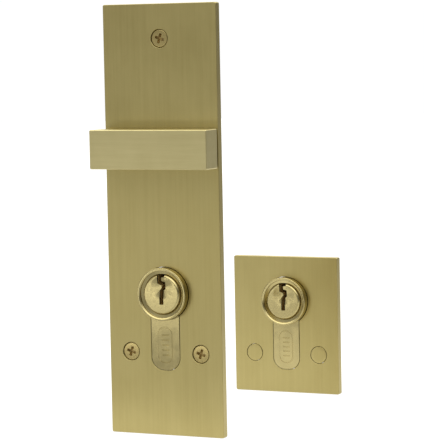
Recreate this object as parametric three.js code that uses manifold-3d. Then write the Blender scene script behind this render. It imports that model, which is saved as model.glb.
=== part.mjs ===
// A deadbolt's door furniture: an interior plate with a turn bar and a profile cylinder, and a smaller
// exterior plate with a profile cylinder and two concealed posts. Millimetres, +Z up.
// The origin is the centre of the interior plate's back face, and +Y goes into the door.

import * as THREE from 'three';
import { mergeVertices } from 'three/addons/utils/BufferGeometryUtils.js';
import Module from 'manifold-3d';

const wasm = await Module();
wasm.setup();

// ---------------------------------------------------------------- driving dimensions

// Plates.
const PLATE_WIDTH = 40;
const PLATE_THICKNESS = 2.6;
const INTERIOR_HEIGHT = 137.4;
const EXTERIOR_HEIGHT = 48.5;
const SET_BACK = 94.3; // the exterior plate stands this far behind the interior one, bottoms level

// Where things sit on the plates.
const INTERIOR_CYLINDER_RISE = 45.4; // above the plate's bottom edge
const EXTERIOR_CYLINDER_RISE = 32.7;
const TURN_ABOVE_CYLINDER = 46.3;
const SCREW_BELOW_CYLINDER = 18.9;
const SCREW_HALF_SPREAD = 12.4;
const TOP_SCREW_INSET = 11; // below the plate's top edge

// Profile cylinder: the standard outline of 17 mm barrel, 10 mm tongue and 33 mm height.
const BARREL_RADIUS = 8.5;
const TONGUE_WIDTH = 10;
const CYLINDER_HEIGHT = 33;
const TONGUE_CORNER = 4.2;
const NOSE = 2.6; // the barrel stands this far out of the plate, the tongue is flush
const BODY_LENGTH = 25.4; // behind the plate's front face
const NOSE_EDGE = 0.25;
const BODY_GAP = 0.3; // between the body and the cut-out of the plate
const SLOT_START = 12.6; // the cam's slot
const SLOT_END = 21.6;
const WEB_TOP = -15.8; // the web under the slot joins the two halves
const FIXING_HOLE_RADIUS = 2.3;
const FIXING_HOLE_DROP = 19.6;

// Plug, cam and clip.
const MOUTH_RIM_RADIUS = 8; // the mouth is a chamfer, a wall and a floor that slopes to the bore
const MOUTH_RADIUS = 7.55;
const MOUTH_RIM = 0.3;
const MOUTH_DEPTH = 0.9;
const BORE_DEPTH = 1.1;
const BORE_RADIUS = 6.5;
const PLUG_RADIUS = 6.4;
const PLUG_FRONT = -2.5;
const PLUG_EDGE = 0.5;
const DISH_RADIUS = 3.85; // the hollow that guides the key
const DISH_FLOOR_RADIUS = 1.4;
const DISH_DEPTH = 0.5;
const DISH_MIDDLE = [0.25, 2.15];
const STEM_RADIUS = 4.5;
const STEM_FLAT = 3.5;
const CLIP_SEAT = 3.7;
const CLIP_RADIUS = 7.3;
const TAIL_RADIUS = 3;
const CAM_RADIUS = 7.6;
const CAM_REACH = 14.6;
const CAM_TIP_RADIUS = 2.2;
const RUNNING_GAP = 0.1;
const FITTED_GAP = 0.15;

// Pin stacks, in chambers that run down the tongue.
const PIN_PLACES = [2.4, 5.9, 9.4]; // behind the plate's front face
const PIN_RADIUS = 1.35;
const CHAMBER_RADIUS = 1.5;
const KEY_PIN_FOOT = -6.3; // just inside the plug's surface
const KEY_PIN_TIP = -2.7;
const PIN_HOLE_END = -0.9;
const DRIVER_TOP = -6.5; // just outside the plug's surface
const DRIVER_FOOT = -11.3;
const SPRING_TOP = -11.45;
const SPRING_FOOT = -22.2;
const SPRING_TURNS = 6;
const STEPS_PER_TURN = 7;
const WIRE_RADIUS = 0.2;
const CAP_TOP = -22.4;
const CAP_FOOT = -24.4;

// Turn bar and what it turns on.
const BAR_WIDTH = 41.2;
const BAR_HEIGHT = 12.5;
const BAR_DEPTH = 7.9;
const BAR_GAP = 2; // between the bar and the plate
const BAR_EDGE = 0.35;
const SPINDLE_SIDE = 5;
const SOCKET_SIDE = 5.3;
const SOCKET_DEPTH = 5.6;
const SPINDLE_END = 30; // behind the plate's back face
const NECK_RADIUS = 4.5;
const NECK_SPIGOT = 1.5; // into the bar
const NECK_END = 2.6;
const GROOVE_RADIUS = 4.1;
const CIRCLIP_RADIUS = 5.5;
const BUSH_RADIUS = 5.8;
const GRUB_RADIUS = 1.5;
const GRUB_OFFSET = 2; // from the socket's blind end

// Screws and posts. The screws are M3: 5.5 mm heads, 2.5 mm tapping holes.
const SHANK_RADIUS = 1.5;
const SHANK_HOLE_RADIUS = 1.8;
const HEAD_RADIUS = 2.75;
const HEAD_SUNK = 0.2;
const HEAD_RIM = 0.3;
const SINK_RADIUS = 3;
const SINK_RIM = 0.55;
const RECESS_SPAN = 3.2;
const RECESS_WIDTH = 0.9;
const RECESS_DEPTH = 1;
const RECESS_TURN = THREE.MathUtils.degToRad(17); // clockwise, as seen from in front
const FIXING_SCREW_END = 11; // behind the plate's back face
const TOP_SCREW_END = 27;
const POST_RADIUS = 3;
const POST_END = 9.6;
const POST_HOLE_RADIUS = 1.25;
const POST_HOLE_DEPTH = 8;

// Facets on a full circle.
const FINE = 40;
const MEDIUM = 24;
const COARSE = 16;

// Distances that follow from those above.
const PLATE_FRONT = -PLATE_THICKNESS;
const PLATE_BOTTOM = -INTERIOR_HEIGHT / 2;
const INTERIOR_CYLINDER_Z = PLATE_BOTTOM + INTERIOR_CYLINDER_RISE;
const EXTERIOR_CYLINDER_Z = PLATE_BOTTOM + EXTERIOR_CYLINDER_RISE;
const POST_Z = EXTERIOR_CYLINDER_Z - SCREW_BELOW_CYLINDER;
const TURN_Z = INTERIOR_CYLINDER_Z + TURN_ABOVE_CYLINDER;
const TOP_SCREW_Z = INTERIOR_HEIGHT / 2 - TOP_SCREW_INSET;
const BAR_BACK = PLATE_FRONT - BAR_GAP;
const SOCKET_END = BAR_BACK - SOCKET_DEPTH;
const TONGUE_FOOT = BARREL_RADIUS - CYLINDER_HEIGHT;

// ---------------------------------------------------------------- finishes

function finish(color, roughness, metalness) {
  return new THREE.MeshStandardMaterial({ color, roughness, metalness });
}

const SATIN_BRASS = finish(0x988c57, 0.42, 1);
const BRIGHT_BRASS = finish(0xb79f58, 0.22, 1);
const TURNED_BRASS = finish(0xa8945a, 0.32, 1);
const STEEL = finish(0x8d8f90, 0.35, 1);
const NYLON = finish(0xd9d6cc, 0.6, 0);

// ---------------------------------------------------------------- shape helpers

/** A closed geometry as a solid for cutting and joining, without triangles that have shrunk to a line. */
function toSolid(geometry) {
  const bare = geometry.clone();
  bare.deleteAttribute('normal');
  bare.deleteAttribute('uv');
  const merged = mergeVertices(bare, 1e-5);
  const corners = merged.index.array;
  const kept = [];
  for (let i = 0; i < corners.length; i += 3) {
    const [a, b, c] = [corners[i], corners[i + 1], corners[i + 2]];
    if (a !== b && b !== c && c !== a) kept.push(a, b, c);
  }
  const vertProperties = new Float32Array(merged.attributes.position.array);
  const mesh = new wasm.Mesh({ numProp: 3, vertProperties, triVerts: new Uint32Array(kept) });
  return new wasm.Manifold(mesh);
}

/** A solid back as a geometry. */
function toGeometry(solid) {
  const mesh = solid.getMesh();
  const geometry = new THREE.BufferGeometry();
  geometry.setAttribute('position', new THREE.BufferAttribute(new Float32Array(mesh.vertProperties), 3));
  geometry.setIndex(new THREE.BufferAttribute(new Uint32Array(mesh.triVerts), 1));
  geometry.computeVertexNormals();
  return geometry;
}

/** The first geometry, less all the others. */
function cut(body, ...tools) {
  return toGeometry(tools.reduce((left, tool) => left.subtract(toSolid(tool)), toSolid(body)));
}

/** All the geometries joined into one. */
function join(...bodies) {
  return toGeometry(bodies.map(toSolid).reduce((whole, body) => whole.add(body)));
}

/** A flat outline in X and Z, made thick from y0 to y1. */
function slab(outline, y0, y1, facets = MEDIUM) {
  const options = { depth: y1 - y0, bevelEnabled: false, curveSegments: facets / 2 };
  return new THREE.ExtrudeGeometry(outline, options).rotateX(Math.PI / 2).translate(0, y1, 0);
}

/** A box between two corners. */
function block(low, high) {
  const size = high.map((value, axis) => value - low[axis]);
  const middle = high.map((value, axis) => (value + low[axis]) / 2);
  return new THREE.BoxGeometry(...size).translate(...middle);
}

/** A profile of [radius, distance] points, turned about the Y axis. */
function turnedY(profile, facets = FINE) {
  return new THREE.LatheGeometry(profile.map(([r, y]) => new THREE.Vector2(r, y)), facets);
}

/** The same, turned about the Z axis. */
function turnedZ(profile, facets = COARSE) {
  return turnedY(profile, facets).rotateX(Math.PI / 2);
}

/** A solid disc or rod profile. */
const rodProfile = (radius, from, to) => [[0, from], [radius, from], [radius, to], [0, to]];

/** A ring profile, closed on itself. */
function ringProfile(inner, outer, from, to) {
  return [[inner, from], [outer, from], [outer, to], [inner, to], [inner, from]];
}

/** A rectangle about the origin, its corners rounded. */
function roundedRectangle(width, height, corner) {
  const x = width / 2 - corner;
  const z = height / 2 - corner;
  const outline = new THREE.Shape();
  outline.absarc(x, z, corner, 0, Math.PI / 2, false);
  outline.absarc(-x, z, corner, Math.PI / 2, Math.PI, false);
  outline.absarc(-x, -z, corner, Math.PI, 1.5 * Math.PI, false);
  outline.absarc(x, -z, corner, 1.5 * Math.PI, 2 * Math.PI, false);
  outline.closePath();
  return outline;
}

/** The tongue of a profile cylinder below its axis, grown outwards by a margin. */
function tongueOutline(margin, top) {
  const half = TONGUE_WIDTH / 2 + margin;
  const foot = TONGUE_FOOT - margin;
  const corner = TONGUE_CORNER + margin;
  const outline = new THREE.Shape();
  outline.moveTo(half, top);
  outline.lineTo(-half, top);
  outline.lineTo(-half, foot + corner);
  outline.absarc(-half + corner, foot + corner, corner, Math.PI, 1.5 * Math.PI, false);
  outline.absarc(half - corner, foot + corner, corner, 1.5 * Math.PI, 2 * Math.PI, false);
  outline.closePath();
  return outline;
}

/** A flat ring with a gap at its top, as a spring clip has. */
function clipOutline(inner, outer, gap) {
  const from = (Math.PI + gap) / 2;
  const to = (5 * Math.PI - gap) / 2;
  const outline = new THREE.Shape();
  outline.absarc(0, 0, outer, from, to, false);
  outline.absarc(0, 0, inner, to, from, true);
  outline.closePath();
  return outline;
}

/** A circle with two flats, left and right. */
function flattedOutline(radius, flat) {
  const angle = Math.acos(flat / radius);
  const outline = new THREE.Shape();
  outline.absarc(0, 0, radius, angle, Math.PI - angle, false);
  outline.absarc(0, 0, radius, Math.PI + angle, 2 * Math.PI - angle, false);
  outline.closePath();
  return outline;
}

/** A helix about the Z axis. */
class Helix extends THREE.Curve {
  constructor(radius, foot, top, turns) {
    super();
    Object.assign(this, { radius, foot, top, turns });
  }

  getPoint(t, target = new THREE.Vector3()) {
    const angle = 2 * Math.PI * this.turns * t;
    const height = this.foot + (this.top - this.foot) * t;
    return target.set(this.radius * Math.cos(angle), this.radius * Math.sin(angle), height);
  }
}

// ---------------------------------------------------------------- profile cylinder

/** The body: barrel and tongue, bored for the plug, slotted for the cam, drilled for the pins. */
function cylinderBody() {
  const front = -NOSE;
  const barrel = turnedY([
    [0, front], [BARREL_RADIUS - NOSE_EDGE, front], [BARREL_RADIUS, front + NOSE_EDGE],
    [BARREL_RADIUS, BODY_LENGTH], [0, BODY_LENGTH],
  ]);
  const tongue = slab(tongueOutline(0, -2), 0, BODY_LENGTH);
  const mouth = turnedY([
    [0, front - 1], [MOUTH_RIM_RADIUS, front - 1], [MOUTH_RIM_RADIUS, front],
    [MOUTH_RADIUS, front + MOUTH_RIM], [MOUTH_RADIUS, front + MOUTH_DEPTH],
    [BORE_RADIUS, front + BORE_DEPTH], [0, front + BORE_DEPTH],
  ]);
  const bore = turnedY(rodProfile(BORE_RADIUS, front, SLOT_START + 1));
  const rearBore = turnedY(rodProfile(TAIL_RADIUS + RUNNING_GAP, SLOT_END - 1, BODY_LENGTH + 1), MEDIUM);
  const clear = BARREL_RADIUS + 1;
  const slot = block([-clear, SLOT_START, WEB_TOP], [clear, SLOT_END, clear]);
  const fixingHole = turnedY(rodProfile(FIXING_HOLE_RADIUS, -clear, clear), COARSE)
    .rotateZ(Math.PI / 2).translate(0, (SLOT_START + SLOT_END) / 2, -FIXING_HOLE_DROP);
  const chamber = rodProfile(CHAMBER_RADIUS, TONGUE_FOOT - 1, 1 - BORE_RADIUS);
  const chambers = PIN_PLACES.map((y) => turnedZ(chamber).translate(0, y, 0));
  return cut(join(barrel, tongue), mouth, bore, rearBore, slot, fixingHole, ...chambers);
}

/** The keyway's section: a zigzag slot, open through the top of the plug. */
function keywayOutline() {
  return new THREE.Shape([
    [-0.62, -3.2], [0.8, -3.2], [0.8, 1.2], [1.4, 1.8], [1.4, 4], [0.12, 4.3], [0.12, 5.4], [1.25, 5.6],
    [1.25, 7.5], [-1.41, 7.5], [-1.38, 3.5], [0, 2.8], [0, 2.1], [-0.62, 1.4],
  ].map(([x, z]) => new THREE.Vector2(x, z)));
}

/** The plug: face, pin holes, and behind it the stem that drives the cam. */
function plug() {
  const body = turnedY([
    [0, PLUG_FRONT], [PLUG_RADIUS - PLUG_EDGE, PLUG_FRONT], [PLUG_RADIUS, PLUG_FRONT + PLUG_EDGE],
    [PLUG_RADIUS, SLOT_START - 0.2], [STEM_RADIUS, SLOT_START - 0.2], [STEM_RADIUS, SLOT_START + 0.2],
    [CLIP_SEAT, SLOT_START + 0.2], [CLIP_SEAT, SLOT_START + 1.1], [STEM_RADIUS, SLOT_START + 1.1],
    [STEM_RADIUS, SLOT_END - 0.2], [TAIL_RADIUS, SLOT_END - 0.2],
    [TAIL_RADIUS, BODY_LENGTH - 0.8], [TAIL_RADIUS - 0.4, BODY_LENGTH - 0.4], [0, BODY_LENGTH - 0.4],
  ]);
  const keyway = slab(keywayOutline(), PLUG_FRONT - 1, SLOT_START - 0.8);
  const [dishX, dishZ] = DISH_MIDDLE;
  const dish = turnedY([
    [0, PLUG_FRONT - 1], [DISH_RADIUS, PLUG_FRONT - 1], [DISH_RADIUS, PLUG_FRONT],
    [DISH_FLOOR_RADIUS, PLUG_FRONT + DISH_DEPTH], [0, PLUG_FRONT + DISH_DEPTH],
  ], MEDIUM).translate(dishX, 0, dishZ);
  const pinHole = rodProfile(CHAMBER_RADIUS, -PLUG_RADIUS - 1, PIN_HOLE_END);
  const pinHoles = PIN_PLACES.map((y) => turnedZ(pinHole).translate(0, y, 0));
  const flats = [-1, 1].map((side) => {
    const [from, to] = [side * STEM_FLAT, side * 6].sort((a, b) => a - b);
    return block([from, SLOT_START - 0.1, -6], [to, SLOT_END - 0.2, 6]);
  });
  return cut(body, keyway, dish, ...pinHoles, ...flats);
}

/** The cam: a ring keyed to the stem, with the lug that throws the bolt hanging down inside the outline. */
function cam() {
  const lug = new THREE.Shape();
  lug.moveTo(3.4, -5);
  lug.lineTo(-3.4, -5);
  lug.lineTo(-CAM_TIP_RADIUS, CAM_TIP_RADIUS - CAM_REACH);
  lug.absarc(0, CAM_TIP_RADIUS - CAM_REACH, CAM_TIP_RADIUS, Math.PI, 2 * Math.PI, false);
  lug.closePath();
  const [from, to] = [SLOT_START + 1.4, SLOT_END - 0.4];
  const ring = turnedY(rodProfile(CAM_RADIUS, from, to));
  const keyedBore = slab(flattedOutline(STEM_RADIUS + FITTED_GAP, STEM_FLAT + FITTED_GAP), from - 1, to + 1);
  return cut(join(ring, slab(lug, from, to)), keyedBore);
}

/** The clip that keeps the plug in its bore. */
const plugClip = () => slab(
  clipOutline(CLIP_SEAT + FITTED_GAP, CLIP_RADIUS, THREE.MathUtils.degToRad(60)),
  SLOT_START + 0.3, SLOT_START + 1,
);

/** A pin that the key lifts: flat foot, cone tip. */
const keyPin = () => turnedZ([
  [0, KEY_PIN_FOOT], [0.9, KEY_PIN_FOOT], [PIN_RADIUS, KEY_PIN_FOOT + 0.35], [PIN_RADIUS, KEY_PIN_TIP - 1],
  [0.35, KEY_PIN_TIP], [0, KEY_PIN_TIP],
]);

/** A driver pin, its ends eased. */
const driverPin = () => turnedZ([
  [0, DRIVER_FOOT], [1, DRIVER_FOOT], [PIN_RADIUS, DRIVER_FOOT + 0.3], [PIN_RADIUS, DRIVER_TOP - 0.3],
  [1.05, DRIVER_TOP], [0, DRIVER_TOP],
]);

/** The spring that pushes a driver pin up. */
function pinSpring() {
  const section = new THREE.Shape().absarc(0, 0, WIRE_RADIUS, 0, 2 * Math.PI, false);
  const extrudePath = new Helix(1, SPRING_FOOT + WIRE_RADIUS, SPRING_TOP - WIRE_RADIUS, SPRING_TURNS);
  const steps = SPRING_TURNS * STEPS_PER_TURN;
  const options = { steps, curveSegments: 3, bevelEnabled: false, extrudePath };
  return new THREE.ExtrudeGeometry(section, options);
}

/** The cap that closes a chamber. */
const chamberCap = () => turnedZ(rodProfile(CHAMBER_RADIUS - RUNNING_GAP, CAP_FOOT, CAP_TOP));

/** A whole cylinder, its parts named after the side of the door it serves. */
function profileCylinder(side) {
  const group = new THREE.Group();
  group.add(part(`${side}_cylinder_body`, cylinderBody(), TURNED_BRASS));
  group.add(part(`${side}_plug`, plug(), BRIGHT_BRASS));
  group.add(part(`${side}_cam`, cam(), STEEL));
  group.add(part(`${side}_plug_clip`, plugClip(), STEEL));
  PIN_PLACES.forEach((place, i) => {
    const stack = new THREE.Group();
    stack.position.y = place;
    stack.add(part(`${side}_key_pin_${i + 1}`, keyPin(), BRIGHT_BRASS));
    stack.add(part(`${side}_driver_pin_${i + 1}`, driverPin(), BRIGHT_BRASS));
    stack.add(part(`${side}_pin_spring_${i + 1}`, pinSpring(), STEEL));
    stack.add(part(`${side}_chamber_cap_${i + 1}`, chamberCap(), TURNED_BRASS));
    group.add(stack);
  });
  return group;
}

// ---------------------------------------------------------------- plates, screws and posts

/** What is cut away for a round hole through a plate. */
const through = (radius, facets = MEDIUM) => turnedY(rodProfile(radius, PLATE_FRONT - 1, 1), facets);

/** A plate with its cylinder cut-out; the outline's origin is the plate's middle. */
function plateWithCutout(height, cylinderZ) {
  const x = PLATE_WIDTH / 2;
  const z = height / 2;
  const corners = [[-x, -z], [x, -z], [x, z], [-x, z]];
  const outline = new THREE.Shape(corners.map((corner) => new THREE.Vector2(...corner)));
  const barrelHole = through(BARREL_RADIUS + BODY_GAP, FINE).translate(0, 0, cylinderZ);
  const tongueHole = slab(tongueOutline(BODY_GAP, -2), PLATE_FRONT - 1, 1).translate(0, 0, cylinderZ);
  return cut(slab(outline, PLATE_FRONT, 0), barrelHole, tongueHole);
}

/** What is cut away for a countersunk screw. */
const screwSink = () => turnedY([
  [0, PLATE_FRONT - 1], [SINK_RADIUS, PLATE_FRONT - 1], [SINK_RADIUS, PLATE_FRONT + SINK_RIM],
  [SHANK_HOLE_RADIUS, PLATE_FRONT + SINK_RIM + SINK_RADIUS - SHANK_HOLE_RADIUS], [SHANK_HOLE_RADIUS, 1],
  [0, 1],
], MEDIUM);

function interiorPlate() {
  const plate = plateWithCutout(INTERIOR_HEIGHT, INTERIOR_CYLINDER_Z);
  const turnHole = through(BUSH_RADIUS + FITTED_GAP, FINE).translate(0, 0, TURN_Z);
  return cut(plate, turnHole, ...screwPlaces().map(([x, z]) => screwSink().translate(x, 0, z)));
}

/** The three screws' axes: top, left, right. */
function screwPlaces() {
  const low = INTERIOR_CYLINDER_Z - SCREW_BELOW_CYLINDER;
  return [[0, TOP_SCREW_Z], [-SCREW_HALF_SPREAD, low], [SCREW_HALF_SPREAD, low]];
}

function exteriorPlate() {
  const middle = PLATE_BOTTOM + EXTERIOR_HEIGHT / 2;
  const plate = plateWithCutout(EXTERIOR_HEIGHT, EXTERIOR_CYLINDER_Z - middle).translate(0, 0, middle);
  const postHole = through(POST_RADIUS + FITTED_GAP).translate(0, 0, POST_Z);
  const postHoles = [-1, 1].map((side) => postHole.clone().translate(side * SCREW_HALF_SPREAD, 0, 0));
  return cut(plate, ...postHoles);
}

/** A countersunk cross-recess screw; the point is how far the shank tapers at its end. */
function screw(end, point) {
  const top = PLATE_FRONT + HEAD_SUNK;
  const rim = top + HEAD_RIM;
  const shank = rim + HEAD_RADIUS - SHANK_RADIUS;
  const tip = Math.max(0.15, SHANK_RADIUS - point);
  const body = turnedY([
    [0, top], [HEAD_RADIUS, top], [HEAD_RADIUS, rim], [SHANK_RADIUS, shank],
    [SHANK_RADIUS, end - 1.6 * point], [tip, end], [0, end],
  ], MEDIUM);
  const arms = [0, Math.PI / 2].map((turn) => {
    const [span, width] = [RECESS_SPAN / 2, RECESS_WIDTH / 2];
    return block([-span, top - 1, -width], [span, top + RECESS_DEPTH, width]).rotateY(turn + RECESS_TURN);
  });
  return cut(body, ...arms);
}

/** A post that a fixing screw reaches from the other side of the door. */
function post() {
  const floor = POST_END - POST_HOLE_DEPTH;
  return turnedY([
    [0, PLATE_FRONT], [POST_RADIUS, PLATE_FRONT], [POST_RADIUS, POST_END - 0.4],
    [POST_RADIUS - 0.4, POST_END], [POST_HOLE_RADIUS, POST_END], [POST_HOLE_RADIUS, floor], [0, floor],
  ], MEDIUM);
}

// ---------------------------------------------------------------- turn

/** The bar, with its neck's seat, its spindle's socket and its grub screw's hole. */
function turnBar() {
  const options = {
    depth: BAR_DEPTH - 2 * BAR_EDGE, bevelSize: BAR_EDGE, bevelOffset: -BAR_EDGE, bevelThickness: BAR_EDGE,
    bevelSegments: 2, curveSegments: 3,
  };
  const bar = new THREE.ExtrudeGeometry(roundedRectangle(BAR_WIDTH, BAR_HEIGHT, 2 * BAR_EDGE), options)
    .rotateX(Math.PI / 2).translate(0, BAR_BACK - BAR_EDGE, 0);
  const half = SOCKET_SIDE / 2;
  const seat = turnedY(rodProfile(NECK_RADIUS + FITTED_GAP, BAR_BACK - NECK_SPIGOT - 0.1, BAR_BACK + 1));
  const socket = block([-half, SOCKET_END, -half], [half, BAR_BACK + 1, half]);
  const grubHole = turnedZ(rodProfile(GRUB_RADIUS + FITTED_GAP, -BAR_HEIGHT, 0))
    .translate(0, SOCKET_END + GRUB_OFFSET, 0);
  return cut(bar, seat, socket, grubHole);
}

/** The neck: a sleeve round the spindle, grooved for the circlip. */
function turnNeck() {
  const sleeve = turnedY([
    [0, BAR_BACK - NECK_SPIGOT], [NECK_RADIUS, BAR_BACK - NECK_SPIGOT], [NECK_RADIUS, 0.85],
    [GROOVE_RADIUS, 0.85], [GROOVE_RADIUS, 1.75], [NECK_RADIUS, 1.75], [NECK_RADIUS, NECK_END - 0.3],
    [NECK_RADIUS - 0.3, NECK_END], [0, NECK_END],
  ]);
  const half = SOCKET_SIDE / 2;
  return cut(sleeve, block([-half, BAR_BACK - 3, -half], [half, NECK_END + 1, half]));
}

/** The square spindle, its free end eased. */
function turnSpindle() {
  const side = SPINDLE_SIDE;
  const options = {
    depth: SPINDLE_END - SOCKET_END - 0.9, bevelSize: 0.3, bevelOffset: -0.3, bevelThickness: 0.35,
    bevelSegments: 1, curveSegments: 2,
  };
  return new THREE.ExtrudeGeometry(roundedRectangle(side, side, 0.4), options)
    .rotateX(Math.PI / 2).translate(0, SPINDLE_END - 0.35, 0);
}

/** The grub screw that holds the spindle in the bar, with its hexagon socket below. */
function grubScrew() {
  const [foot, top] = [0.35 - BAR_HEIGHT / 2, -SPINDLE_SIDE / 2 - 0.1];
  const body = turnedZ([
    [0, foot], [GRUB_RADIUS - 0.2, foot], [GRUB_RADIUS, foot + 0.2], [GRUB_RADIUS, top - 0.5], [0.8, top],
    [0, top],
  ]);
  const hexagon = turnedZ(rodProfile(0.85, foot - 1, foot + 1.2), 6);
  return cut(body, hexagon).translate(0, SOCKET_END + GRUB_OFFSET, 0);
}

// ---------------------------------------------------------------- assembly

/** A named piece. */
function part(name, geometry, material) {
  const mesh = new THREE.Mesh(geometry, material);
  mesh.name = name;
  return mesh;
}

function turnSet() {
  const group = new THREE.Group();
  group.position.z = TURN_Z;
  const bush = ringProfile(NECK_RADIUS + RUNNING_GAP, BUSH_RADIUS, PLATE_FRONT, 0);
  const washer = ringProfile(NECK_RADIUS + FITTED_GAP, BUSH_RADIUS - 0.2, 0.15, 0.75);
  const circlip = clipOutline(GROOVE_RADIUS + RUNNING_GAP, CIRCLIP_RADIUS, THREE.MathUtils.degToRad(70));
  group.add(part('turn_bar', turnBar(), SATIN_BRASS));
  group.add(part('turn_neck', turnNeck(), TURNED_BRASS));
  group.add(part('turn_bush', turnedY(bush), NYLON));
  group.add(part('turn_washer', turnedY(washer), STEEL));
  group.add(part('turn_circlip', slab(circlip, 0.95, 1.65), STEEL));
  group.add(part('turn_spindle', turnSpindle(), STEEL));
  group.add(part('turn_grub_screw', grubScrew(), STEEL));
  return group;
}

function interiorSet() {
  const group = new THREE.Group();
  group.add(part('interior_plate', interiorPlate(), SATIN_BRASS));
  const screws = [['top_screw', TOP_SCREW_END, SHANK_RADIUS], ['fixing_screw_left', FIXING_SCREW_END, 0.4],
    ['fixing_screw_right', FIXING_SCREW_END, 0.4]];
  screwPlaces().forEach(([x, z], i) => {
    const [name, end, point] = screws[i];
    const mesh = part(name, screw(end, point), BRIGHT_BRASS);
    mesh.position.set(x, 0, z);
    group.add(mesh);
  });
  group.add(turnSet());
  const cylinder = profileCylinder('interior');
  cylinder.position.set(0, PLATE_FRONT, INTERIOR_CYLINDER_Z);
  group.add(cylinder);
  return group;
}

function exteriorSet() {
  const group = new THREE.Group();
  group.position.y = SET_BACK;
  group.add(part('exterior_plate', exteriorPlate(), SATIN_BRASS));
  [['exterior_post_left', -1], ['exterior_post_right', 1]].forEach(([name, side]) => {
    const mesh = part(name, post(), SATIN_BRASS);
    mesh.position.set(side * SCREW_HALF_SPREAD, 0, POST_Z);
    group.add(mesh);
  });
  const cylinder = profileCylinder('exterior');
  cylinder.position.set(0, PLATE_FRONT, EXTERIOR_CYLINDER_Z);
  group.add(cylinder);
  return group;
}

const lock = new THREE.Group();
lock.add(interiorSet());
lock.add(exteriorSet());

export default lock;
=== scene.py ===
"""A deadbolt's door furniture in satin brass, laid out as an add-on: the plates, the turn bar, the screws
and posts, the two profile cylinders, and a pale studio. Metres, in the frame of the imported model:
+X right, +Y into the door, +Z up."""

import math

import bmesh
import bpy
import numpy as np
from bpy.props import FloatProperty, FloatVectorProperty, PointerProperty
from mathutils import Matrix, Vector


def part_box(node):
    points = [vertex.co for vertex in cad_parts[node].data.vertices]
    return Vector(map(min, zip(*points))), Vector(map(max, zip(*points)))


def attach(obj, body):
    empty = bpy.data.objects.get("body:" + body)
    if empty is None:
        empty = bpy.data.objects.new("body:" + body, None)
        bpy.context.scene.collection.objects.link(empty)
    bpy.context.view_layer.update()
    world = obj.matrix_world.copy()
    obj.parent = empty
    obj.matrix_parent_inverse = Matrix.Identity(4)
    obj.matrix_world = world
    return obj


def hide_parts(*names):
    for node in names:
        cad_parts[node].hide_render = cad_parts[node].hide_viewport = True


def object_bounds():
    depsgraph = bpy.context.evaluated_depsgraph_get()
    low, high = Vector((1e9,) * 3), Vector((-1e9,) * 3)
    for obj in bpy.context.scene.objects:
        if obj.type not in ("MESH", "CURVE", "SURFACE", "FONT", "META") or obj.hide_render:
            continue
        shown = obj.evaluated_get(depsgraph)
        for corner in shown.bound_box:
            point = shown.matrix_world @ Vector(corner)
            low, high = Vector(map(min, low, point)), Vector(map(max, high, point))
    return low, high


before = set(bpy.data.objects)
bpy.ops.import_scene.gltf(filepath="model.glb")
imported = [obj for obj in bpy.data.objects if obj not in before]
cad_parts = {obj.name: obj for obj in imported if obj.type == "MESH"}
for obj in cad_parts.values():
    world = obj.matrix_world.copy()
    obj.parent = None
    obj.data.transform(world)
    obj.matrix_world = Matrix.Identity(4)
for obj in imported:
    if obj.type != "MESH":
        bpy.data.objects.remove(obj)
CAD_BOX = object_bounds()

bl_info = {
    "name": "Deadbolt Door Furniture",
    "version": (1, 0, 0),
    "blender": (4, 5, 0),
    "location": "View3D > Sidebar > Deadbolt",
    "description": "Builds a satin brass deadbolt furniture set round its packed frame",
    "category": "Object",
}

SIDES = ("interior", "exterior")
ROUND = 96  # points on a full circle
CLOSE = 1e-7  # points nearer than this are one point

# ------------------------------------------------------------------ places and sizes, from the frame


def middle(node):
    """The middle of a node's box, as an array."""
    low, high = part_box(node)
    return (np.array(low) + np.array(high)) / 2


def reach(node):
    """The low and high corners of a node's box, as two arrays."""
    low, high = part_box(node)
    return np.array(low), np.array(high)


def axis_of(side):
    """A cylinder's axis at the plate's front face: the plug is round, so its box gives the axis."""
    plate_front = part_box(f"{side}_plate")[0][1]
    centre = middle(f"{side}_plug")
    return np.array((centre[0], plate_front, centre[2]))


BARREL = (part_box("interior_cylinder_body")[1][0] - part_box("interior_cylinder_body")[0][0]) / 2
PLUG = (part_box("interior_plug")[1][0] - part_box("interior_plug")[0][0]) / 2


def length(name, default, description):
    """A size property in metres."""
    return FloatProperty(
        name=name, description=description, default=default, min=0, unit="LENGTH", precision=5
    )


def tint(name, default, description):
    """A colour property, linear."""
    return FloatVectorProperty(
        name=name, description=description, default=default, size=3, min=0, max=1, subtype="COLOR"
    )


def degrees(name, default, description):
    """An angle property, given in degrees."""
    return FloatProperty(
        name=name, description=description, default=math.radians(default), subtype="ANGLE"
    )


def amount(name, default, description, least=0):
    """A plain number property."""
    return FloatProperty(name=name, description=description, default=default, min=least)


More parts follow.
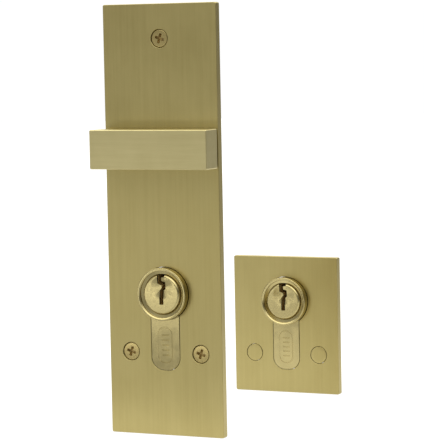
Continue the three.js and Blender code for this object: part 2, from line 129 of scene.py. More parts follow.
class DeadboltSizes(bpy.types.PropertyGroup):
    """Sizes that a user may change; the rest come from the frame."""

    plate_edge: length("Plate edge", 0.00018, "How far the plates' edges are eased")
    bar_edge: length("Bar edge", 0.0003, "How far the turn bar's edges are eased")
    hole_edge: length("Hole edge", 0.00006, "Chamfer round the holes")
    cut_gap: length("Cylinder gap", 0.00013, "Gap between a cylinder and its cut-out")
    rim_edge: length("Rim edge", 0.0003, "How far the barrel's rim is rounded")
    mouth_rim: length("Mouth rim radius", 0.0080, "Radius of the mouth at the barrel's face")
    mouth: length("Mouth radius", 0.00755, "Radius of the mouth inside its chamfer")
    mouth_depth: length("Mouth depth", 0.0009, "Depth of the mouth's wall")
    plug_edge: length("Plug edge", 0.0005, "Chamfer round the plug's face")
    dish: length("Key guide", 0.00385, "Radius of the hollow that guides the key")
    dish_depth: length("Key guide depth", 0.0005, "Depth of that hollow")
    tongue: length("Tongue width", 0.010, "Width of the cylinder's tongue")
    tongue_corner: length("Tongue corner", 0.0042, "Radius of the tongue's lower corners")
    head_sunk: length("Head sunk", 0.0002, "How far a head lies below the plate's face")
    sink: length("Countersink", 0.0030, "Radius of a countersink")
    shank: length("Screw shank", 0.0015, "Radius over a screw's thread")
    shank_hole: length("Shank hole", 0.0018, "Radius of the hole that a shank passes")
    post_bore: length("Post bore", 0.00125, "Radius of a post's tapping hole")
    thread: length("Thread depth", 0.0003, "Depth of the screws' threads")


class DeadboltColours(bpy.types.PropertyGroup):
    """Colours of the finishes."""

    satin: tint("Satin brass", (0.50, 0.42, 0.175), "Brushed plates")
    satin_deep: tint("Satin brass, deep", (0.43, 0.355, 0.138), "The plates' darker streaks")
    bar: tint("Bar brass", (0.64, 0.56, 0.28), "Brushed turn bar")
    bar_deep: tint("Bar brass, deep", (0.55, 0.475, 0.225), "The bar's darker streaks")
    bright: tint("Bright brass", (0.54, 0.43, 0.175), "Screws")
    turned: tint("Turned brass", (0.50, 0.42, 0.19), "Cylinders and neck")
    # inside and recess are painted shade: darker, browner brass for the depths of the keyway and of the
    # screws' recesses.
    inside: tint("Keyway painted shade", (0.34, 0.22, 0.065), "Dull brass inside the keyway")
    recess: tint("Recess painted shade", (0.42, 0.30, 0.10), "Dull brass inside the screws' recesses")
    steel: tint("Steel", (0.42, 0.43, 0.43), "Cams, clips, springs and spindle")
    nylon: tint("Nylon", (0.70, 0.67, 0.60), "The turn's bush")


class DeadboltStage(bpy.types.PropertyGroup):
    """The studio and the camera."""

    yaw: degrees("Yaw", 25.87, "Camera to the right of the plates' axis")
    pitch: degrees("Pitch", 4.48, "Camera looking down")
    roll: degrees("Roll", -1.14, "Camera turned about its view")
    lens: amount("Lens", 186.7, "Focal length in millimetres on a 36 mm sensor", 1)
    eye: FloatVectorProperty(
        name="Camera", description="The camera's place", default=(0.33037, -0.64824, 0.05643),
        subtype="XYZ", unit="LENGTH",
    )
    front: amount("Front", 0.44, "Brightness in front of the plates")
    right: amount("Right", 0.17, "Brightness to their right")
    overhead: amount("Overhead", 2.4, "Brightness overhead")
    strip: amount("Strip light", 0.035, "Power of the low strip light, in watts")


# ------------------------------------------------------------------ outlines and surfaces


def around(count, start=0.0, end=2 * math.pi, closed=True):
    """Evenly spaced angles; a closed range leaves its end out."""
    return np.linspace(start, end, count, endpoint=not closed)


def round_outline(margin):
    """A circle of radius margin: x = m cos a, z = m sin a."""
    angle = around(ROUND)
    return np.stack(np.broadcast_arrays(margin * np.cos(angle), margin * np.sin(angle)), -1)


def box_outline(width, height, corner, steps=6):
    """A rectangle with rounded corners, as a function of margin: each corner is a quarter circle about its
    own centre, whose radius grows with the margin, and straight sides join them."""
    quarter = around(steps + 1, 0, math.pi / 2, closed=False)
    angle = (np.arange(4)[:, None] * math.pi / 2 + quarter).ravel()
    sign_x = np.repeat((1, -1, -1, 1), steps + 1)
    sign_z = np.repeat((1, 1, -1, -1), steps + 1)

    def outline(margin):
        radius = corner + margin
        x = sign_x * (width / 2 - corner) + radius * np.cos(angle)
        z = sign_z * (height / 2 - corner) + radius * np.sin(angle)
        return np.stack((x, z), -1)

    return outline


def drop_outline(radius, half_top, half_foot, foot, corner, steps=14):
    """A round head with a tongue below it, as a function of margin: the head's arc runs over the top from
    where the tongue leaves it, and two quarter circles round the tongue's foot."""
    share = around(ROUND - 12, 0, 1, closed=False)
    quarter = around(steps + 1, 0, math.pi / 2, closed=False)

    def outline(margin):
        big = radius + margin
        start = -np.arccos((half_top + margin) / big)
        angle = start + (math.pi - 2 * start) * share
        small = corner + margin
        x = [big * np.cos(angle)]
        z = [big * np.sin(angle)]
        for side, first in ((-1, math.pi), (1, 1.5 * math.pi)):
            x.append(side * (half_foot - corner) + small * np.cos(first + quarter))
            z.append(foot + corner + small * np.sin(first + quarter))
        return np.stack((np.concatenate(x, -1), np.concatenate(z, -1)), -1)

    return outline


def clip_outline(inner, outer, gap, steps=48):
    """A flat open ring: an outer arc, then an inner arc back, with the gap at the top."""
    angle = around(steps, math.pi / 2 + gap / 2, 2.5 * math.pi - gap / 2, closed=False)

    def outline(margin):
        radius = np.concatenate((outer + margin + 0 * angle, inner - margin + 0 * angle), -1)
        both = np.concatenate((angle, angle[::-1]))
        return np.stack((radius * np.cos(both), radius * np.sin(both)), -1)

    return outline


def fixed_outline(points):
    """An outline that doesn't grow with the margin."""
    points = np.asarray(points, float)
    return lambda margin: np.broadcast_to(points, (len(margin), *points.shape))


def turned_by(outline, angle):
    """The same outline, turned anticlockwise as seen from in front."""
    turn = np.array(((math.cos(angle), math.sin(angle)), (-math.sin(angle), math.cos(angle))))
    return lambda margin: outline(margin) @ turn


def ease(profile, radius, steps=4):
    """A profile whose inner corners are rounded: each becomes a quadratic curve that leaves one side and
    joins the other at the given distance, or half way along a shorter side."""
    points = np.asarray(profile, float)
    corner = points[1:-1]

    def towards(other):
        side = other - corner
        return corner + side * np.minimum(radius / np.linalg.norm(side, axis=1, keepdims=True), 0.5)

    start, end = towards(points[:-2])[:, None], towards(points[2:])[:, None]
    t = np.linspace(0, 1, steps + 1)[None, :, None]
    curve = (1 - t) ** 2 * start + 2 * t * (1 - t) * corner[:, None] + t**2 * end
    return np.vstack((points[:1], curve.reshape(-1, 2), points[-1:]))


def sweep(outline, profile, centre=(0, 0, 0)):
    """Rings of points: for each [margin, y] of the profile, the outline at that margin, at that y."""
    profile = np.asarray(profile, float)
    flat = outline(profile[:, :1])
    y = np.broadcast_to(profile[:, 1:], flat.shape[:2])
    return np.stack((flat[..., 0], y, flat[..., 1]), -1) + np.asarray(centre, float)


def rod(radius, low, high, edge):
    """A rod's profile, its end edges eased."""
    return ease(((radius / 2, low), (radius, low), (radius, high), (radius / 2, high)), edge)


def prism(low, high, edge, steps=4):
    """The profile of a flat piece between two y values. Each edge is a quarter circle: at angle a its margin
    is edge (sin a - 1), and it lies edge (1 - cos a) in from the face."""
    turn = around(steps + 1, 0, math.pi / 2, closed=False)
    margin, depth = edge * (np.sin(turn) - 1), edge * (1 - np.cos(turn))
    front = np.stack((margin, low + depth), -1)
    back = np.stack((margin, high - depth), -1)[::-1]
    return np.concatenate((front, back))


def through(low, high, chamfer, clear=0.001):
    """The profile of a hole through a plate, with a chamfer at both faces."""
    wide = chamfer + clear
    return ((wide, low - clear), (0, low + chamfer), (0, high - chamfer), (wide, high + clear))


def along(rings, axis):
    """Rings made about the Y axis, laid about X or Z instead, by trading two coordinates."""
    order = {"X": (1, 0, 2), "Z": (0, 2, 1)}[axis]
    return rings[..., order]


# ------------------------------------------------------------------ meshes


def solid(name, rings):
    """A closed mesh: quads between neighbouring rings, and a flat face across the first and the last."""
    rows, count = rings.shape[:2]
    grid = np.arange(rows * count).reshape(rows, count)
    near, far = grid[:-1], grid[1:]
    quads = np.stack((near, np.roll(near, -1, 1), np.roll(far, -1, 1), far), -1).reshape(-1, 4)
    mesh = bpy.data.meshes.new(name)
    faces = [*quads.tolist(), grid[0].tolist(), grid[-1].tolist()]
    mesh.from_pydata(rings.reshape(-1, 3).tolist(), [], faces)
    clean(mesh)
    piece = bpy.data.objects.new(name, mesh)
    bpy.context.scene.collection.objects.link(piece)
    return piece


def clean(mesh):
    """Merges points that coincide, drops faces with no area and turns all faces outwards."""
    work = bmesh.new()
    work.from_mesh(mesh)
    bmesh.ops.remove_doubles(work, verts=work.verts, dist=CLOSE)
    bmesh.ops.dissolve_degenerate(work, edges=work.edges, dist=CLOSE)
    bmesh.ops.recalc_face_normals(work, faces=work.faces)
    work.to_mesh(mesh)
    work.free()


def carve(piece, *cutters):
    """Cuts each cutter's volume out of the piece, and removes the cutters."""
    for cutter in cutters:
        step = piece.modifiers.new("cut", "BOOLEAN")
        step.operation = "DIFFERENCE"
        step.solver = "EXACT"
        step.object = cutter
    graph = bpy.context.evaluated_depsgraph_get()
    mesh = bpy.data.meshes.new_from_object(piece.evaluated_get(graph))
    piece.modifiers.clear()
    piece.data = mesh
    clean(mesh)
    for cutter in cutters:
        bpy.data.objects.remove(cutter)
    return piece


def cutter(outline, profile, centre=(0, 0, 0)):
    """A solid made only to be cut away."""
    return solid("cutter", sweep(outline, profile, centre))


def done(piece, body, nodes, material):
    """Shades a piece, gives it its material, hangs it on the empty of the body that it moves with, and hides
    the frame's nodes that it stands for.
    """
    mesh = piece.data
    mesh.shade_smooth()
    mesh.set_sharp_from_angle(angle=math.radians(40))
    weighted = piece.modifiers.new("shading", "WEIGHTED_NORMAL")
    weighted.keep_sharp = True
    mesh.materials.clear()
    mesh.materials.append(material)
    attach(piece, body)
    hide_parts(*nodes)
    return piece


# ------------------------------------------------------------------ materials


class Wire:
    """A socket of a node tree; arithmetic on it adds Math nodes."""

    def __init__(self, tree, socket):
        self.tree = tree
        self.socket = socket

    def _math(self, operation, first, second):
        return add_node(self.tree, "ShaderNodeMath", {"operation": operation}, {0: first, 1: second})

    def __add__(self, other):
        return self._math("ADD", self, other)

    def __radd__(self, other):
        return self._math("ADD", other, self)

    def __sub__(self, other):
        return self._math("SUBTRACT", self, other)

    def __rsub__(self, other):
        return self._math("SUBTRACT", other, self)

    def __mul__(self, other):
        return self._math("MULTIPLY", self, other)

    def __rmul__(self, other):
        return self._math("MULTIPLY", other, self)


def add_node(tree, kind, settings, inputs, output=0):
    """Adds a node, makes its settings, feeds its sockets with values or wires, and returns one output."""
    node = tree.nodes.new(kind)
    for key, value in settings.items():
        setattr(node, key, value)
    for key, value in inputs.items():
        if isinstance(value, Wire):
            tree.links.new(value.socket, node.inputs[key])
        else:
            node.inputs[key].default_value = value
    return Wire(tree, node.outputs[output])


class Finish:
    """A material being made, with the patterns that the finishes share."""

    def __init__(self, name, metallic, **constants):
        self.material = bpy.data.materials.new(name)
        self.material.use_nodes = True
        self.tree = self.material.node_tree
        self.shader = self.tree.nodes["Principled BSDF"]
        self.shader.inputs["Metallic"].default_value = metallic
        for socket, value in constants.items():
            self.shader.inputs[socket.replace("_", " ")].default_value = value
        self.place = self.node("ShaderNodeTexCoord", {}, {}, "Object")

    def node(self, kind, settings, inputs, output=0):
        return add_node(self.tree, kind, settings, inputs, output)

    def noise(self, stretch, detail=2.0, roughness=0.5, shift=0.0):
        """Noise on object coordinates; stretch is its count per metre along X, Y and Z."""
        where = self.node("ShaderNodeMapping", {}, {0: self.place, 1: (shift, shift, shift), 3: stretch})
        inputs = {"Vector": where, "Scale": 1.0, "Detail": detail, "Roughness": roughness}
        return self.node("ShaderNodeTexNoise", {}, inputs)

    def blend(self, share, first, second):
        """A colour between two, by share."""
        colours = [colour if isinstance(colour, Wire) else (*colour, 1) for colour in (first, second)]
        mixed = {"data_type": "RGBA", "clamp_factor": True}
        return self.node("ShaderNodeMix", mixed, {0: share, 6: colours[0], 7: colours[1]}, 2)

    def range(self, value, low, high, out_low=0.0, out_high=1.0):
        """Moves a value from one range to another, clamped."""
        inputs = {0: value, 1: low, 2: high, 3: out_low, 4: out_high}
        return self.node("ShaderNodeMapRange", {"clamp": True}, inputs)

    def bump(self, height, strength, distance):
        """Tilts the surface by a height pattern."""
        inputs = {"Height": height, "Strength": strength, "Distance": distance}
        self.feed("Normal", self.node("ShaderNodeBump", {}, inputs))

    def feed(self, socket, wire):
        """Links a wire to one of the shader's sockets."""
        self.tree.links.new(wire.socket, self.shader.inputs[socket])


def satin_brass(name, light, deep, grain_axis):
    """Brass brushed along one axis: long fine streaks in tone, roughness and height, under slow mottling."""
    finish = Finish(name, 1.0)
    fine = (5200, 5200, 90) if grain_axis == "Z" else (110, 5200, 4200)
    wide = (900, 900, 18) if grain_axis == "Z" else (30, 900, 700)
    streak = finish.noise(fine, 3.0, 0.6)
    band = finish.noise(wide, 2.0, 0.5, 3.0)
    mottle = finish.noise((70, 70, 45), 3.0, 0.6, 7.0)
    tone = streak * 0.35 + band * 0.30 + mottle * 0.55
    finish.feed("Base Color", finish.blend(finish.range(tone, 0.42, 0.78), deep, light))
    finish.feed("Roughness", finish.range(streak * 0.6 + mottle * 0.4, 0.3, 0.7, 0.33, 0.43))
    finish.bump(streak * 0.7 + band * 0.3, 0.10, 0.00005)
    return finish.material


FINE_GRAIN = (1500, 1500, 1500)
CLOUDS = (260, 260, 260)


def fine_marks(finish):
    """Fine marks by themselves, and a tone from 0 to 1 made half of them and half of soft clouds."""
    mark = finish.noise(FINE_GRAIN, 4.0, 0.65)
    cloud = finish.noise(CLOUDS, 3.0, 0.55, 5.0)
    return mark, finish.range(mark * 0.5 + cloud * 0.5, 0.35, 0.65)


def machined(name, colour, roughness, metallic=1.0, marks=0.12):
    """Smooth metal or plastic with fine marks: small changes in tone and roughness, and shallow scratches."""
    finish = Finish(name, metallic)
    mark, tone = fine_marks(finish)
    dark = tuple(channel * (1 - marks) for channel in colour)
    light = tuple(min(1.0, channel * (1 + marks)) for channel in colour)
    finish.feed("Base Color", finish.blend(tone, dark, light))
    finish.feed("Roughness", finish.range(mark, 0.3, 0.7, roughness - 0.05, roughness + 0.06))
    finish.bump(mark, 0.06, 0.00004)
    return finish.material


def faced(name, colour, inside, roughness, level, end, marks=0.12):
    """Bright brass with painted shade between two distances along Y, as inside a keyway: darker and browner
    there, and rougher and less metallic.
    """
    finish = Finish(name, 1.0)
    mark, tone = fine_marks(finish)
    along_y = finish.node("ShaderNodeSeparateXYZ", {}, {0: finish.place}, "Y")
    # Mask of the painted shade: 1 between level and end, below the face, and 0 elsewhere.
    depth = finish.range(along_y, level, level + 0.0004) * finish.range(along_y, end, end + 0.0002, 1.0, 0.0)
    dark = tuple(channel * (1 - marks) for channel in colour)
    finish.feed("Base Color", finish.blend(depth, finish.blend(tone, dark, colour), inside))
    finish.feed("Roughness", finish.range(mark, 0.3, 0.7, roughness - 0.05, roughness + 0.06) + depth * 0.25)
    finish.feed("Metallic", 1 - depth * 0.8)
    finish.bump(mark, 0.02, 0.00002)
    return finish.material


def turned_rings(name, colour, roughness, centre, pitch):
    """Turned metal: fine rings about the cylinder's axis in roughness and height, from the distance to it."""
    finish = Finish(name, 1.0)
    placed = {0: finish.place, 1: (-centre[0], 0, -centre[2]), 3: (1, 0, 1)}
    where = finish.node("ShaderNodeMapping", {}, placed)
    radius = finish.node("ShaderNodeVectorMath", {"operation": "LENGTH"}, {0: where}, "Value")
    wave = finish.node("ShaderNodeMath", {"operation": "SINE"}, {0: radius * (2 * math.pi / pitch)})
    cloud = finish.noise(CLOUDS, 2.0, 0.5)
    tone = finish.range(cloud + wave * 0.04, 0.35, 0.65)
    finish.feed("Base Color", finish.blend(tone, tuple(0.88 * c for c in colour), colour))
    finish.feed("Roughness", finish.range(cloud + wave * 0.08, 0.3, 0.7, roughness - 0.04, roughness + 0.05))
    finish.bump(wave * 0.5 + cloud, 0.02, 0.00002)
    return finish.material


FINISHES = {}


def finish_named(name):
    """The finish of that name, made when it is first asked for."""
    if name not in FINISHES:
        FINISHES[name] = make_finish(name, bpy.context.scene.deadbolt_colours)
    return FINISHES[name]


def make_finish(name, colours):
    """Makes a finish by its name; those that depend on depth or on an axis start with the side's name."""
    turned, bright, inside = tuple(colours.turned), tuple(colours.bright), tuple(colours.inside)
    side, _, rest = name.partition(" ")
    if name == "plate brass":
        return satin_brass(name, colours.satin, colours.satin_deep, "Z")
    if name == "bar brass":
        return satin_brass(name, colours.bar, colours.bar_deep, "X")
    if name == "screw brass":
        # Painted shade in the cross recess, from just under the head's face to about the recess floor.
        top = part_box("top_screw")[0][1]
        return faced(name, bright, tuple(colours.recess), 0.24, top + 0.0002, top + 0.0011)
    if name == "pin brass":
        return machined(name, bright, 0.30)
    if name == "neck brass":
        return machined(name, turned, 0.36)
    if name == "steel":
        return machined(name, tuple(colours.steel), 0.34)
    if name == "nylon":
        return machined(name, tuple(colours.nylon), 0.55, 0.0, 0.05)
    if rest == "plug brass":
        # Painted shade in the keyway, from just behind the plug's face to near the cam.
        keyway_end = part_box(f"{side}_cam")[0][1] - 0.0021
        return faced(name, turned, inside, 0.22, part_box(f"{side}_plug")[0][1] + 0.0007, keyway_end, 0.06)
    return turned_rings(name, turned, 0.19, axis_of(side), 0.00012)


# ------------------------------------------------------------------ plates


def profile_cut(side, sizes):
    """The cutter for a cylinder's hole in its plate: the cylinder's own outline, wider by the gap."""
    low, high = reach(f"{side}_plate")
    outline = cylinder_outline(side, sizes, sizes.cut_gap)
    return cutter(outline, through(low[1], high[1], sizes.hole_edge), axis_of(side) * (1, 0, 1))


def cylinder_outline(side, sizes, grown=0.0):
    """The cylinder's outline about its axis, grown by a margin."""
    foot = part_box(f"{side}_cylinder_body")[0][2] - axis_of(side)[2]
    half = sizes.tongue / 2
    outline = drop_outline(BARREL, half, half, foot, sizes.tongue_corner)
    return lambda margin: outline(margin + grown)


def plate_blank(side, sizes):
    """The plate before its holes: a rectangle with almost sharp corners and eased edges."""
    low, high = reach(f"{side}_plate")
    size = high - low
    outline = box_outline(size[0], size[2], 0.0006)
    centre = ((low[0] + high[0]) / 2, 0, (low[2] + high[2]) / 2)
    return solid(f"{side}_plate_brushed", sweep(outline, prism(low[1], high[1], sizes.plate_edge), centre))


def sink_cut(node, front, back, sizes):
    """The cutter for a countersunk hole: a short rim, a cone and the shank's hole."""
    centre = middle(node)
    rim, hole, clear = 0.00055, sizes.shank_hole, 0.001
    profile = (
        (sizes.sink + sizes.hole_edge + clear, front - clear),
        (sizes.sink, front + sizes.hole_edge),
        (sizes.sink, front + rim),
        (hole, front + rim + sizes.sink - hole),
        (hole, back - sizes.hole_edge),
        (hole + sizes.hole_edge + clear, back + clear),
    )
    return cutter(round_outline, profile, (centre[0], 0, centre[2]))


class DEADBOLT_OT_interior_plate(bpy.types.Operator):
    """Makes the tall plate, with its cylinder cut-out, turn hole and three countersunk holes"""

    bl_idname = "deadbolt.interior_plate"
    bl_label = "Interior plate"

    def execute(self, context):
        sizes = context.scene.deadbolt_sizes
        low, high = reach("interior_plate")
        bush_low, bush_high = reach("turn_bush")
        radius = (bush_high[0] - bush_low[0]) / 2 + 0.00015
        hole = np.add(through(low[1], high[1], sizes.hole_edge), (radius, 0))
        cuts = [profile_cut("interior", sizes), cutter(round_outline, hole, middle("turn_bush") * (1, 0, 1))]
        cuts += [sink_cut(node, low[1], high[1], sizes) for node in SCREWS]
        plate = carve(plate_blank("interior", sizes), *cuts)
        done(plate, "root", ["interior_plate"], finish_named("plate brass"))
        return {"FINISHED"}


class DEADBOLT_OT_exterior_plate(bpy.types.Operator):
    """Makes the short plate, with its cylinder cut-out and two post holes"""

    bl_idname = "deadbolt.exterior_plate"
    bl_label = "Exterior plate"

    def execute(self, context):
        sizes = context.scene.deadbolt_sizes
        low, high = reach("exterior_plate")
        cuts = [profile_cut("exterior", sizes)]
        for node in POSTS:
            centre = middle(node)
            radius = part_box(node)[1][0] - centre[0] + 0.00013
            hole = np.add(through(low[1], high[1], sizes.hole_edge), (radius, 0))
            cuts.append(cutter(round_outline, hole, (centre[0], 0, centre[2])))
        plate = carve(plate_blank("exterior", sizes), *cuts)
        done(plate, "root", ["exterior_plate"], finish_named("plate brass"))
        return {"FINISHED"}


# ------------------------------------------------------------------ screws and posts

MACHINE_THREAD = (0.0005, 0.0006)  # a thread's pitch, then the length of the screw's point
WOOD_THREAD = (0.0013, 0.007)
SCREWS = {
    "top_screw": WOOD_THREAD,
    "fixing_screw_left": MACHINE_THREAD,
    "fixing_screw_right": MACHINE_THREAD,
}
POSTS = ("exterior_post_left", "exterior_post_right")
RECESS_SPAN, RECESS_WIDTH, RECESS_DEPTH = 0.0032, 0.0009, 0.001
RECESS_TURN = math.radians(-17)
BORE_LENGTH = 0.008  # a post's tapped length


def threaded(root, depth, pitch, low, high, point):
    """Rings of a screw thread: the radius is the root plus a triangle wave in (y / pitch - turn), and it
    shrinks to nothing over the last stretch, which is the point."""
    rows = int((high - low) / pitch * 10) + 2
    y = np.linspace(low, high, rows)[:, None]
    angle = around(ROUND // 2)[None, :]
    wave = 1 - np.abs(2 * np.mod(y / pitch - angle / (2 * math.pi), 1) - 1)
    start = np.clip((y - low) / pitch, 0, 1)
    taper = np.clip((high - y) / max(point, pitch), 0.0, 1.0) ** 0.6
    radius = (root + depth * wave * start) * (0.12 + 0.88 * taper)
    height = np.broadcast_to(y, radius.shape)
    return np.stack((radius * np.cos(angle), height, radius * np.sin(angle)), -1)


class DEADBOLT_OT_screws(bpy.types.Operator):
    """Makes the three countersunk screws: eased head, cross recess and thread"""

    bl_idname = "deadbolt.screws"
    bl_label = "Screws"

    def execute(self, context):
        sizes = context.scene.deadbolt_sizes
        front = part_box("interior_plate")[0][1]
        top = front + sizes.head_sunk
        rim, shank = top + 0.0003, sizes.shank
        for node, (pitch, point) in SCREWS.items():
            low, high = reach(node)
            centre = middle(node) * (1, 0, 1)
            end, wide = high[1], (high[0] - low[0]) / 2
            cone = rim + wide - shank
            profile = ((0.0012, top), (wide, top), (wide, rim), (shank, cone), (shank, cone + 0.0012))
            head = ease(profile, 0.00022)
            rings = sweep(round_outline, head)[:, ::2]
            thread = threaded(shank - sizes.thread, sizes.thread, pitch, cone + 0.0014, end, point)
            piece = solid(f"{node}_threaded", np.concatenate((rings, thread)) + centre)
            arm = box_outline(RECESS_SPAN, RECESS_WIDTH, 0.0002, 3)
            floor = top + RECESS_DEPTH
            taper = ((0.0001, top - 0.0004), (0, top), (-0.00012, floor), (-0.00014, floor + 0.00003))
            turns = (RECESS_TURN, RECESS_TURN + math.pi / 2)
            carve(piece, *(cutter(turned_by(arm, turn), taper, centre) for turn in turns))
            done(piece, "root", [node], finish_named("screw brass"))
        return {"FINISHED"}


class DEADBOLT_OT_posts(bpy.types.Operator):
    """Makes the exterior plate's two posts, drilled and threaded from behind"""

    bl_idname = "deadbolt.posts"
    bl_label = "Posts"

    def execute(self, context):
        sizes = context.scene.deadbolt_sizes
        for node in POSTS:
            low, high = reach(node)
            centre = middle(node) * (1, 0, 1)
            radius = (high[0] - low[0]) / 2
            profile = rod(radius, low[1], high[1], 0.00022)
            piece = solid(f"{node}_drilled", sweep(round_outline, profile, centre))
            bottom, clear = high[1] - BORE_LENGTH, high[1] + 0.0004
            bore = threaded(sizes.post_bore, sizes.thread, MACHINE_THREAD[0], bottom, clear, 0.0)[:-6]
            rim = ((sizes.post_bore + sizes.thread, high[1] - 0.0002), (sizes.post_bore + 0.0007, clear))
            mouth = sweep(round_outline, rim)[:, ::2]
            carve(piece, solid("cutter", np.concatenate((bore, mouth)) + centre))
            done(piece, "root", [node], finish_named("plate brass"))
        return {"FINISHED"}


# ------------------------------------------------------------------ turn

GROOVE = 0.0041  # radius of the neck's groove
HEX_SOCKET = 0.00085  # radius of the grub screw's socket, over its corners


class DEADBOLT_OT_turn(bpy.types.Operator):
    """Makes the turn bar and what it turns on"""

    bl_idname = "deadbolt.turn"
    bl_label = "Turn"

    def execute(self, context):
        sizes = context.scene.deadbolt_sizes
        low, high = reach("turn_bar")
        centre = middle("turn_spindle") * (1, 0, 1)
        size = high - low
        outline = box_outline(size[0], size[2], 0.0005)
        bar = solid("turn_bar_brushed", sweep(outline, prism(low[1], high[1], sizes.bar_edge), centre))
        neck_low, neck_high = reach("turn_neck")
        neck = (neck_high[0] - neck_low[0]) / 2
        seat = ((neck + 0.00015, neck_low[1] - 0.0001), (neck + 0.00015, high[1] + 0.001))
        spindle_low, spindle_high = reach("turn_spindle")
        side = spindle_high[0] - spindle_low[0]
        square = box_outline(side + 0.0003, side + 0.0003, 0.0003, 3)
        socket = ((0, spindle_low[1] - 0.0002), (0, high[1] + 0.001))
        grub_low, grub_high = reach("turn_grub_screw")
        grub = (grub_high[0] - grub_low[0]) / 2
        grub_y = (grub_low[1] + grub_high[1]) / 2
        bore = grub + 0.0001
        drilled = ((bore + 0.0003, low[2] - 0.0005), (bore, low[2] + 0.0001), (bore, centre[2]))
        drill = along(sweep(round_outline, drilled), "Z")
        carve(
            bar,
            cutter(round_outline, seat, centre),
            cutter(square, socket, centre),
            solid("cutter", drill + (centre[0], grub_y, 0)),
        )
        done(bar, "turn", ["turn_bar"], finish_named("bar brass"))

        clip_low, clip_high = reach("turn_circlip")
        groove_low, groove_high = clip_low[1] - 0.0001, clip_high[1] + 0.0001
        profile = ease(
            (
                (neck / 2, neck_low[1]), (neck, neck_low[1]), (neck, groove_low), (GROOVE, groove_low),
                (GROOVE, groove_high), (neck, groove_high), (neck, neck_high[1]), (neck / 2, neck_high[1]),
            ),
            0.00018,
        )
        sleeve = solid("turn_neck_grooved", sweep(round_outline, profile, centre))
        carve(sleeve, cutter(square, ((0, neck_low[1] - 0.001), (0, neck_high[1] + 0.001)), centre))
        done(sleeve, "turn", ["turn_neck"], finish_named("neck brass"))

        rings = (
            ("turn_bush", "root", neck + 0.0001, "nylon", "nylon"),
            ("turn_washer", "turn", neck + 0.00015, "steel", "steel"),
        )
        for node, body, bore, slot, finish in rings:
            first, last = reach(node)
            radius = (last[0] - first[0]) / 2
            profile = rod(radius, first[1], last[1], 0.0001)
            piece = solid(f"{node}_ring", sweep(round_outline, profile, centre))
            carve(piece, cutter(round_outline, np.add(through(first[1], last[1], 0.0001), (bore, 0)), centre))
            done(piece, body, [node], finish_named(finish))

        outer = (clip_high[0] - clip_low[0]) / 2
        ring = clip_outline(GROOVE + 0.0001, outer, math.radians(70))
        clip = solid("turn_circlip_open", sweep(ring, prism(clip_low[1], clip_high[1], 0.00012), centre))
        done(clip, "turn", ["turn_circlip"], finish_named("steel"))

        bar_outline = box_outline(side, side, 0.0004)
        profile = prism(spindle_low[1], spindle_high[1], 0.00035)
        rail = solid("turn_spindle_square", sweep(bar_outline, profile, centre))
        done(rail, "turn", ["turn_spindle"], finish_named("steel"))

        body = along(sweep(round_outline, rod(grub, grub_low[2], grub_high[2], 0.0002)), "Z")
        screw = solid("turn_grub_screw_socket", body + (centre[0], grub_y, 0))
        hexagon = fixed_outline(HEX_SOCKET * np.stack((np.cos(around(6)), np.sin(around(6))), -1))
        key = along(sweep(hexagon, ((0, grub_low[2] - 0.0005), (0, grub_low[2] + 0.0012))), "Z")
        carve(screw, solid("cutter", key + (centre[0], grub_y, 0)))
        done(screw, "turn", ["turn_grub_screw"], finish_named("steel"))
        return {"FINISHED"}


# ------------------------------------------------------------------ cylinders

KEYWAY = (
    (-0.62, -3.2), (0.8, -3.2), (0.8, 1.2), (1.4, 1.8), (1.4, 4.0), (0.12, 4.3), (0.12, 5.4), (1.25, 5.6),
    (1.25, 7.5), (-1.41, 7.5), (-1.38, 3.5), (0.0, 2.8), (0.0, 2.1), (-0.62, 1.4),
)  # the slot's section in millimetres from the plug's axis, open at the top


CHAMBER = 0.0015  # radius of a pin's chamber
CROSS_HOLE = 0.0023  # radius of the fixing screw's hole across the body
CROSS_HOLE_DROP = 0.0196  # below the axis
WEB_TOP = -0.0158  # the web under the cam's slot, from the axis
SLOT_TOP = 0.012
STEM, SEAT, TAIL = 0.0045, 0.0037, 0.003  # radii of the plug's stem, clip seat and tail
FLAT = 0.0035  # the stem's flats, from the axis
CAM_CLEAR = 0.00015  # gap between the stem and the cam
MARK_DROP = 0.0164  # the engraved mark's middle, below the axis
MARK_BARS = 5
MARK_PITCH = 0.0016


def cylinder_blank(side, sizes):
    """The body before its bores: the barrel's nose, then the whole outline along the body. The nose's rings
    sit at the outline's own angles, so that the two meet point to point."""
    low, high = reach(f"{side}_cylinder_body")
    centre = axis_of(side)
    outline = cylinder_outline(side, sizes)
    flat = outline(np.zeros((1, 1)))[0]
    heading = flat / np.linalg.norm(flat, axis=1, keepdims=True)
    nose = ease(((BARREL / 2, low[1]), (BARREL, low[1]), (BARREL, centre[1])), sizes.rim_edge, 7)
    spread = nose[:, :1, None] * heading[None]
    rings = np.stack((spread[..., 0], np.broadcast_to(nose[:, 1:], spread.shape[:2]), spread[..., 1]), -1)
    edge = 0.00008
    shell = ((-edge, centre[1]), (0, centre[1] + edge), (0, high[1]), (-0.0012, high[1]))
    body = sweep(outline, ease(shell, 0.0003))
    body[0] = sweep(outline, ((-edge, centre[1]),))[0]
    return solid(f"{side}_cylinder_body_turned", np.concatenate((rings, body)) + (centre[0], 0, centre[2]))


